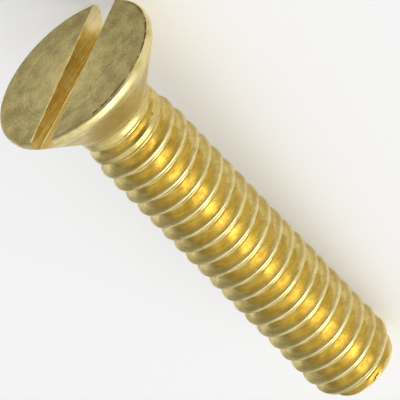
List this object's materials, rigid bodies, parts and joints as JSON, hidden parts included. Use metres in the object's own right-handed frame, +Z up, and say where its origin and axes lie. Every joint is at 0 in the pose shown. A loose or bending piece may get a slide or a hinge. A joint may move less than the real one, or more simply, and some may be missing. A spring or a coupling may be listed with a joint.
{
  "type": "slotted flat head machine screw",
  "caption": "Brass machine screw with a slotted flat countersunk head and a coarse thread along its whole shank, lying on its side.",
  "frame": {"origin": "on the floor, under the middle of the lying screw's box", "axes": "+Z up; +X from the head towards the tip; the screw's axis lies in the XZ plane and dips 5.3 degrees towards the tip; the head's slot lies in the XZ plane too"},
  "size_m": [0.0312, 0.0116, 0.0115],
  "materials": {
    "brass": "bright turned and rolled brass with fine tool marks, unlacquered"
  },
  "bodies": {
    "root": {"machine_screw": "brass"}
  },
  "joints": []
}
